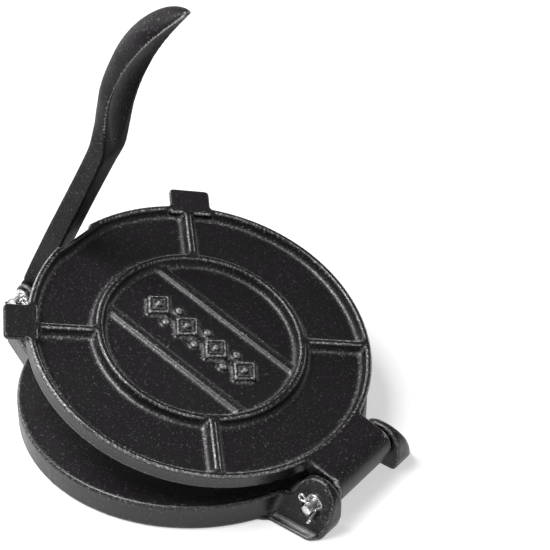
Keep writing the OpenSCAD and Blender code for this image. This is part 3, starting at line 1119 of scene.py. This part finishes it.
@dataclass
class HandleCasting(Casting):
    """The lever: a square shaft from hub to elbow, then a full round grip with a thumb dish."""

    name: str = "handle_casting"
    body: Body = Body.HANDLE
    slot: str = "handle_iron"
    node: str = "press_handle"
    # Its outer edges are worn and painted with a highlight; its inner corners and glints are
    # painted highlights.
    finish: SeasonedIron = SeasonedIron(
        "handle_seasoned_iron",
        rubbed=grey(0.55),
        corner=grey(0.02),
        glint=grey(0.13),
        calm_glint=0.8,
        calm_grain=1.0,
        breakup=0.15,
        matt=0.58,
        specular=0.16,
    )
    voxel: float = 0.5 * MM
    fillet: float = 1.5 * MM
    edge: float = 0.5 * MM
    bend: float = 2.2 * MM
    lean: float = 26.0
    hub_radius: float = 8.2
    hub_half_width: float = 7.0
    bore_radius: float = 3.08
    lip: float = 1.5
    lip_squareness: float = 12.0
    bend_start: float = 150 * MM
    bend_length: float = 22 * MM
    shaft_wear: float = 0.12
    ring_step: float = 1.5
    ring_points: int = 40
    stations: tuple[Station, ...] = (
        Station(5.5, 7.0, 4.5, -8.4, 16.0),
        Station(22.0, 7.0, 4.5, -8.8, 16.0),
        Station(50.0, 7.6, 4.6, -8.6, 16.0),
        Station(108.0, 8.0, 4.6, -7.8, 14.0),
        Station(132.0, 9.0, 4.6, -7.4, 12.0),
        Station(147.0, 10.2, 4.4, -8.0, 7.0, 2.0, 0.0),
        Station(160.0, 11.2, 1.2, -11.2, 3.6, 6.0, 1.0),
        Station(174.0, 12.6, -2.8, -15.3, 2.5, 9.4, 2.4),
        Station(189.0, 14.2, -5.4, -18.9, 2.2, 11.8, 3.2),
        Station(206.0, 14.9, -5.9, -20.3, 2.1, 13.6, 3.4),
        Station(224.0, 15.4, -4.6, -19.9, 2.1, 14.5, 3.4),
        Station(240.0, 15.4, -1.8, -16.8, 2.1, 14.6, 3.0),
        Station(253.0, 13.0, 1.4, -11.6, 2.1, 12.1, 2.3),
        Station(262.0, 8.4, 4.2, -5.6, 2.1, 7.6, 1.4),
        Station(267.0, 4.8, 5.8, -0.4, 2.1, 4.0, 0.7),
        Station(270.4, 1.7, 7.0, 4.4, 2.1, 0.9, 0.1),
    )

    def value(self, name: str, along: float) -> float:
        """Returns a station's size at any place, on a smooth curve through the stations.

        Args:
            name: The size's field name.
            along: Distance from the axle.

        Returns:
            The size there, in millimetres.
        """
        xs = [s.along for s in self.stations]
        ys = [getattr(s, name) for s in self.stations]
        k = min(max(int(np.searchsorted(xs, along)) - 1, 0), len(xs) - 2)
        steps = [(ys[i + 1] - ys[i]) / (xs[i + 1] - xs[i]) for i in range(len(xs) - 1)]
        pairs = zip(steps, steps[1:])
        slopes = [steps[0], *((a + b) / 2 if a * b > 0 else 0.0 for a, b in pairs), steps[-1]]
        gap = xs[k + 1] - xs[k]
        t = min(max((along - xs[k]) / gap, 0.0), 1.0)
        start = (1 + 2 * t) * (1 - t) ** 2 * ys[k] + t * (1 - t) ** 2 * gap * slopes[k]
        end = t * t * (3 - 2 * t) * ys[k + 1] + t * t * (t - 1) * gap * slopes[k + 1]
        return start + end

    def section(self, along: float) -> np.ndarray:
        """Draws the closed outline of the lever at one place.

        Args:
            along: Distance from the axle, in millimetres.

        Returns:
            Its points in metres, face first, as X, Y and Z.
        """
        names = ("half_width", "face", "back", "squareness", "dish_width", "dish_depth")
        half, face, back, square, width, depth = (self.value(name, along) for name in names)
        lip = min(self.lip, (face - back) / 2)
        middle = face - lip
        across = np.sin(np.linspace(-math.pi / 2, math.pi / 2, self.ring_points))
        power = self.lip_squareness
        top = middle + lip * (1 - np.abs(across) ** power).clip(0) ** (1 / power)
        if depth > 0:
            top -= depth * (1 - (across * half / width) ** 2).clip(0)
        bottom = middle - (middle - back) * (1 - np.abs(across) ** square).clip(0) ** (1 / square)
        across_all = np.concatenate([across, across[-2:0:-1]]) * half
        offset = np.concatenate([top, bottom[-2:0:-1]])
        return np.stack([offset, across_all, np.full_like(offset, along)], 1) * MM

    def hub(self) -> Mesh:
        """Turns the round hub with its bore.

        Returns:
            The hub, with its axis along Y.
        """
        half, outer, inner = self.hub_half_width, self.hub_radius, self.bore_radius
        profile = [(outer, -half), (outer, half), (inner, half), (inner, -half)]
        return lathed("hub", [(radius * MM, along * MM) for radius, along in profile])

    def worn(self, points: np.ndarray) -> np.ndarray:
        """Returns how much of the wear and painted highlight points keep: both stay mostly on the
        grip's lip, which hands polish.
        """
        along = (points[:, 2] - self.bend_start) / self.bend_length
        return self.shaft_wear + (1 - self.shaft_wear) * along.clip(0, 1)

    def pose(self, shop: Workshop) -> Matrix:
        """Returns the turn and shift that take the upright lever to its leaning rest."""
        pivot = Matrix.Translation(shop.pivot("handle_pivot"))
        return pivot @ Matrix.Rotation(math.radians(self.lean), 4, "Y")

    def solid(self, shop: Workshop, material: Material) -> Mesh:
        """Lofts the lever and joins its hub.

        Args:
            shop: The frame and what the sub-assemblies share.
            material: Not used; the lever gets its finish with its cast skin.

        Returns:
            The sharp solid in its place in the frame.
        """
        start, end = self.stations[0].along, self.stations[-1].along
        places = np.linspace(start, end, round((end - start) / self.ring_step))
        rings = [self.section(along) for along in places]
        skin = welded(lofted("lever", rings), turn_out=True)
        solid = joined(self.name, [skin, self.hub()])
        solid.transform(self.pose(shop))
        return solid


# ---- pins ----


@dataclass
class Pivot:
    """An axle with its flat head, its washer and the split pin that keeps it in."""

    name: str
    joint: str
    washer_seat: float
    pin_turn: float
    head_radius: float = 5.0
    head_thickness: float = 2.6
    axle_radius: float = 3.0
    axle_end: float = 7.8
    chamfer: float = 0.6
    nick: float = 0.15
    burr: float = 0.1
    bulge_in: float = 0.2  # shares of a chamfer that round its middle
    bulge_out: float = 0.3
    washer_radius: float = 5.4
    washer_thickness: float = 1.4
    washer_bore: float = 3.25
    washer_roll: float = 0.35
    pin_set: float = 3.2
    wire_radius: float = 0.78
    eye_radius: float = 2.2
    leg_reach: float = 8.4
    leg_lean: float = 80.0
    leg_spread: float = 3.0
    hole_play: float = 0.25
    leg_gap: float = 0.98  # as a share of the wire's own width
    eye_gap: float = 0.3
    eye_start: float = 238.0
    eye_sweep: float = 296.0
    eye_steps: int = 18
    wire_bend: float = 1.1
    wire_sides: int = 16
    turning_steps: int = 64
    sharp_angle: float = 50.0

    def axle(self) -> Mesh:
        """Turns the axle, its head on the far side.

        Returns:
            The finished mesh.
        """
        end = -(self.washer_seat + self.washer_thickness + self.axle_end)
        seat, soft, nick = self.washer_seat, self.chamfer, self.nick
        r, head, thick = self.axle_radius, self.head_radius, self.head_thickness
        profile = [
            (0, end),
            (r - soft, end),
            (r - self.bulge_in * soft, end + self.bulge_out * soft),
            (r, end + soft),
            (r, seat),
            (head - nick, seat),
            (head, seat + nick),
            (head, seat + thick - soft),
            (head - self.bulge_out * soft, seat + thick - self.bulge_in * soft),
            (head - soft, seat + thick),
            (0, seat + thick),
        ]
        return self.turned(profile, "axle")

    def washer(self) -> Mesh:
        """Turns the stamped washer, one face rolled over and the other with a small burr.

        Returns:
            The finished mesh.
        """
        near, roll, nick = -self.washer_seat, self.washer_roll, self.nick
        outer, bore, far = self.washer_radius, self.washer_bore, near - self.washer_thickness
        bulge = self.bulge_out * roll
        profile = [
            (bore, near),
            (outer - self.burr, near),
            (outer, near - self.burr),
            (outer, far + roll),
            (outer - bulge, far + bulge),
            (outer - roll, far),
            (bore + nick, far),
            (bore, far + nick),
        ]
        return self.turned(profile, "washer")

    def turned(self, profile: Sequence[tuple[float, float]], part: str) -> Mesh:
        """Turns a profile that is flat-shaded only at its corners.

        Args:
            profile: Radius and place along Y of its points, in millimetres.
            part: The part's name.

        Returns:
            The finished mesh.
        """
        outline = [(r * MM, y * MM) for r, y in profile]
        mesh = lathed(f"{self.name}_{part}", outline, self.turning_steps)
        mesh.shade_smooth()
        mesh.set_sharp_from_angle(angle=math.radians(self.sharp_angle))
        return mesh

    def wire_path(self) -> list[Place]:
        """Lays out the split pin's wire, upright, with its eye at the top.

        Returns:
            Points in millimetres: up one leg, round the eye and down the other leg.
        """
        neck = self.axle_radius + self.wire_radius + self.hole_play
        beside = self.wire_radius * self.leg_gap
        eye, round_eye = neck + self.eye_gap + self.eye_radius, self.eye_radius
        lean, spread = math.radians(self.leg_lean), math.radians(self.leg_spread)
        drop, out = self.leg_reach * math.cos(lean), self.leg_reach * math.sin(lean)
        side = self.leg_reach * math.sin(spread)
        left = [(-beside - side, -out, -neck - drop), (-beside, 0.0, -neck), (-beside, 0.0, neck)]
        start, sweep = math.radians(self.eye_start), math.radians(self.eye_sweep)
        angles = [start - sweep * k / self.eye_steps for k in range(self.eye_steps + 1)]
        turn = [(round_eye * math.cos(a), 0.0, eye + round_eye * math.sin(a)) for a in angles]
        right = [(-x, y, z) for x, y, z in reversed(left)]
        return [*left, *turn, *right]

    def split_pin(self, shop: Workshop, material: Material) -> Mesh:
        """Bends the wire of the split pin and sets it in the axle's cross hole.

        Args:
            shop: The frame and what the sub-assemblies share.
            material: The wire's finish.

        Returns:
            The finished mesh.
        """
        points = [Vector(p) * MM for p in self.wire_path()]
        path = bpy.data.meshes.new(f"{self.name}_wire_path")
        path.from_pydata(points, [(k, k + 1) for k in range(len(points) - 1)], [])
        values = {
            "Wire Radius": self.wire_radius * MM,
            "Bend Radius": self.wire_bend * MM,
            "Sides": self.wire_sides,
            "Material": material,
        }
        mesh = shaped(path, shop.trees.bent_wire, values)
        set_in = -(self.washer_seat + self.washer_thickness + self.pin_set) * MM
        turn = Matrix.Rotation(math.radians(self.pin_turn), 4, "Y")
        mesh.transform(Matrix.Translation((0, set_in, 0)) @ turn)
        return mesh

    def build(self, shop: Workshop, finishes: Mapping[str, Material]) -> None:
        """Makes the axle, the washer and the split pin of this pivot.

        Args:
            shop: The frame and what the sub-assemblies share.
            finishes: The steels, by the record's slot.
        """
        to_axis = Matrix.Translation(shop.pivot(self.joint))
        made = {
            "axle": (self.axle(), "pin_steel"),
            "washer": (self.washer(), "washer_steel"),
            "split_pin": (self.split_pin(shop, finishes["split_pin_steel"]), "split_pin_steel"),
        }
        for part, (mesh, slot) in made.items():
            mesh.transform(to_axis)
            if not mesh.materials:
                mesh.materials.append(finishes[slot])
            node = f"{self.name}_{part}"
            place(mesh, f"{node}_steel", Body.BASE, [node])


# ---- studio ----


@dataclass(frozen=True)
class Softbox:
    """A square lamp: where it hangs, the length of its sides and its power."""

    name: str
    spot: Place
    side: float
    watts: float


@dataclass
class Studio:
    """The pale table, the soft lights and the camera."""

    table_half: float = 6.0
    table_grey: float = 0.52
    table_glow: float = 0.56
    table_rough: float = 0.9
    table_shine: float = 0.1
    ambient: float = 0.15
    horizon: float = 0.8
    rise: tuple[float, float] = (0.25, 0.55)  # where the backdrop starts to fade and is gone
    spread: tuple[float, float] = (0.0, 0.6)  # where it starts sideways and is full
    far_side: Place = (-0.597, 0.802, 0.0)
    azimuth: float = 36.61
    elevation: float = 38.04
    roll: float = 0.78
    distance: float = 1.345
    aim: Place = (-0.03803, 0.1316, 0.0)
    focal_px: float = 2084.0
    picture_px: float = 550.0
    sensor: float = 36.0
    lit_point: Place = (0.0, 0.0, 0.05)
    softboxes: tuple[Softbox, ...] = (
        Softbox("key_softbox", (-0.42, -0.42, 1.25), 0.75, 28.0),
        Softbox("left_softbox", (-1.25, 0.12, 0.5), 0.4, 3.5),
        Softbox("near_softbox", (-0.31, -0.87, 0.88), 0.18, 1.2),
    )

    def camera(self) -> None:
        """Sets the camera, which looks down on the press from its near right side."""
        turn, lift = math.radians(self.azimuth), math.radians(self.elevation)
        flat = math.cos(lift)
        back = Vector((math.sin(turn) * flat, -math.cos(turn) * flat, math.sin(lift)))
        level = Vector((math.cos(turn), math.sin(turn), 0.0))
        upward, roll = back.cross(level), math.radians(self.roll)
        right = math.cos(roll) * level + math.sin(roll) * upward
        up = math.cos(roll) * upward - math.sin(roll) * level
        data = bpy.data.cameras.new("studio_camera")
        data.sensor_width = self.sensor
        data.lens = self.focal_px / self.picture_px * self.sensor
        camera = linked("studio_camera", data)
        turned = Matrix((right, up, back)).transposed().to_4x4()
        camera.matrix_world = Matrix.Translation(Vector(self.aim) + back * self.distance) @ turned
        bpy.context.scene.camera = camera

    def shown(self, graph: Graph) -> Node:
        """Tells rays from the camera and in gloss and glass from all others.

        Args:
            graph: The graph that the nodes go to.

        Returns:
            1 on those rays, else 0.
        """
        rays = graph.add("ShaderNodeLightPath").outputs
        seen = graph.math("MAXIMUM", rays["Is Camera Ray"], rays["Is Glossy Ray"])
        return graph.math("MAXIMUM", seen, rays["Is Transmission Ray"])

    def table(self) -> None:
        """Lays the pale table top, a little brighter to the camera than to the press."""
        half = self.table_half
        corners = [(-half, -half, 0), (half, -half, 0), (half, half, 0), (-half, half, 0)]
        mesh = plain_mesh("table_top", corners, [(0, 1, 2, 3)])
        material, graph, shader = new_material("pale_table")
        values = {
            "Base Color": grey(self.table_grey),
            "Roughness": self.table_rough,
            "Specular IOR Level": self.table_shine,
            "Emission Color": grey(1.0),
            "Emission Strength": graph.math("MULTIPLY", self.shown(graph), self.table_glow),
        }
        graph.feed(shader, values)
        mesh.materials.append(material)
        linked("table_top", mesh)

    def surroundings(self) -> None:
        """Sets a dim room with a pale backdrop low on the far side."""
        world = bpy.data.worlds.new("studio_room")
        world.use_nodes = True
        bpy.context.scene.world = world
        graph = Graph(world.node_tree)
        shade = graph.tree.nodes["Background"]
        way = graph.add("ShaderNodeTexCoord").outputs["Generated"]
        split = graph.add("ShaderNodeSeparateXYZ", {"Vector": way})
        low = graph.math("SUBTRACT", 1.0, graph.ramp(split.outputs["Z"], *self.rise))
        inputs = {0: way, 1: self.far_side}
        facing = graph.add("ShaderNodeVectorMath", inputs, operation="DOT_PRODUCT")
        far = graph.ramp(facing.outputs["Value"], *self.spread)
        glow = graph.math("MULTIPLY", graph.math("MULTIPLY", low, far), self.horizon)
        graph.feed(shade, {"Color": grey(1.0), "Strength": graph.math("ADD", glow, self.ambient)})

    def hang(self, box: Softbox) -> None:
        """Hangs a square softbox that faces the press.

        Args:
            box: The softbox.
        """
        data = bpy.data.lights.new(box.name, "AREA")
        data.shape = "SQUARE"
        data.size = box.side
        data.energy = box.watts
        lamp = linked(box.name, data)
        lamp.location = box.spot
        towards = Vector(self.lit_point) - Vector(box.spot)
        lamp.rotation_euler = towards.to_track_quat("-Z", "Y").to_euler()
        lamp.visible_camera = False

    def build(self) -> None:
        """Sets the table, the room, the lights and the camera."""
        self.table()
        self.surroundings()
        for box in self.softboxes:
            self.hang(box)
        self.camera()
        bpy.context.scene.view_settings.view_transform = "Standard"


# ---- the whole press ----


@dataclass
class Press:
    """All sub-assemblies of the press, in the order in which they are built."""

    base: BaseCasting = field(default_factory=BaseCasting)
    lid: LidCasting = field(default_factory=LidCasting)
    handle: HandleCasting = field(default_factory=HandleCasting)
    hinge: Pivot = field(default_factory=lambda: Pivot("hinge", "lid_hinge", 34.5, -60.0))
    lever: Pivot = field(
        default_factory=lambda: Pivot("handle", "handle_pivot", 13.0, 70.0, leg_reach=6.4)
    )

    def build(self, shop: Workshop) -> None:
        """Builds every sub-assembly; the pivots share their finishes.

        Args:
            shop: The frame and what the sub-assemblies share.
        """
        for casting in (self.base, self.lid, self.handle):
            casting.build(shop)
        steels = {
            "pin_steel": PlatedSteel("plated_pin_steel"),
            "washer_steel": PlatedSteel("plated_washer_steel", polish=0.26, haze=0.5),
            "split_pin_steel": PlatedSteel("plated_wire_steel", polish=0.2, haze=0.36),
        }
        finishes = {slot: steel.material(shop.effects) for slot, steel in steels.items()}
        for pivot in (self.hinge, self.lever):
            pivot.build(shop, finishes)


def main() -> None:
    """Loads the frame, dresses it and sets the studio."""
    logging.basicConfig(level=logging.INFO, format="%(name)s: %(message)s")
    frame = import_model()
    Studio().build()
    Press().build(Workshop(frame))


if __name__ == "__main__":
    main()
